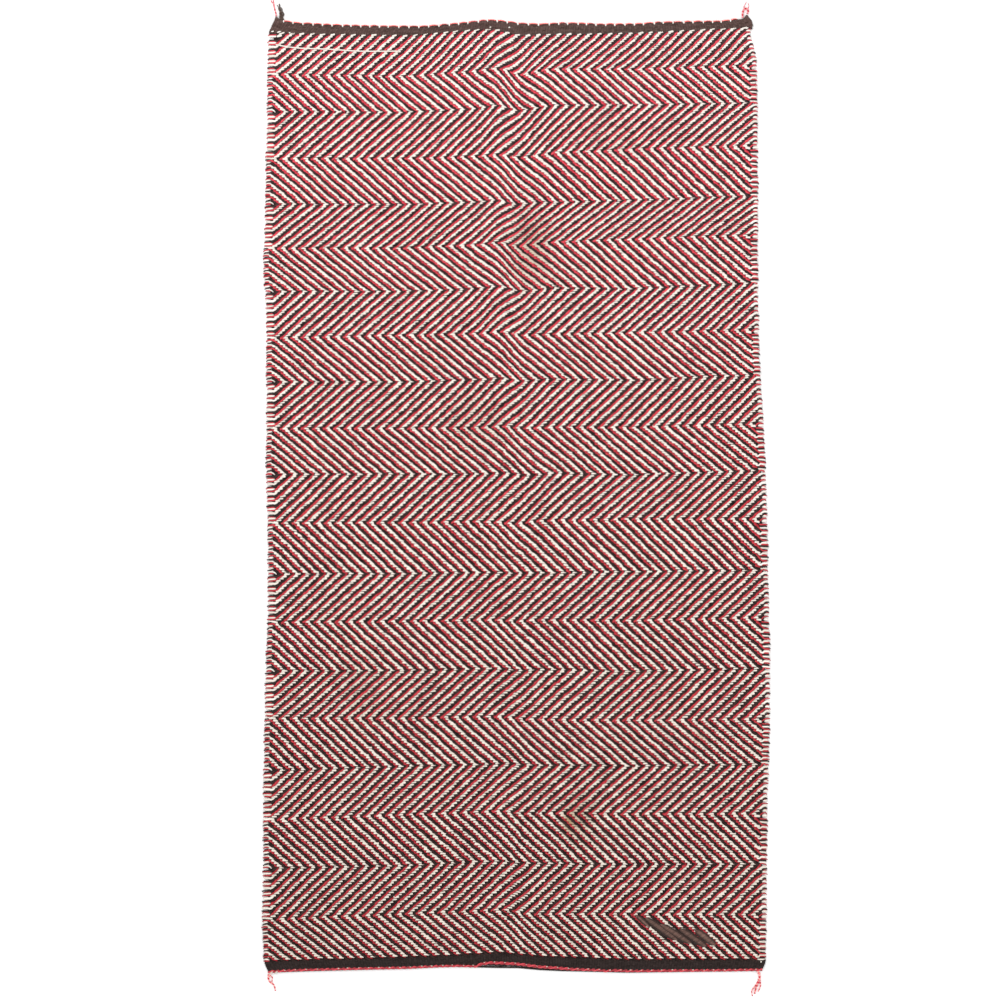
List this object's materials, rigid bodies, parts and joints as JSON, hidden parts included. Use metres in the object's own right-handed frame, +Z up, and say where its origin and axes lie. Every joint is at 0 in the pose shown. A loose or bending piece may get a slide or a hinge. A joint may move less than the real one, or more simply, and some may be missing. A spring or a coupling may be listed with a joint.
{
  "type": "saddle blanket",
  "caption": "Long flat saddle blanket of thick wool twill in herringbone bands, with plain woven ends, twisted end cords and small corner tassels.",
  "frame": {"origin": "on the ground, under the middle of the box around the whole blanket", "axes": "+Y up the length of the blanket, +X across it to the right, +Z up from the ground"},
  "size_m": [0.7916, 1.5623, 0.0066],
  "materials": {
    "twill_wool": "thick weft-faced wool twill, cream, red and dark brown",
    "red_yarn": "twisted red wool yarn",
    "brown_yarn": "dark-brown wool yarn"
  },
  "bodies": {
    "root": {"blanket_cloth": "twill_wool", "end_cord_top": "red_yarn", "end_cord_bottom": "red_yarn", "corner_tassel_top_left": "red_yarn", "selvage_tuft_top_left": "brown_yarn", "corner_tassel_top_right": "red_yarn", "corner_tassel_bottom_left": "red_yarn", "corner_tassel_bottom_right": "red_yarn"}
  },
  "joints": []
}
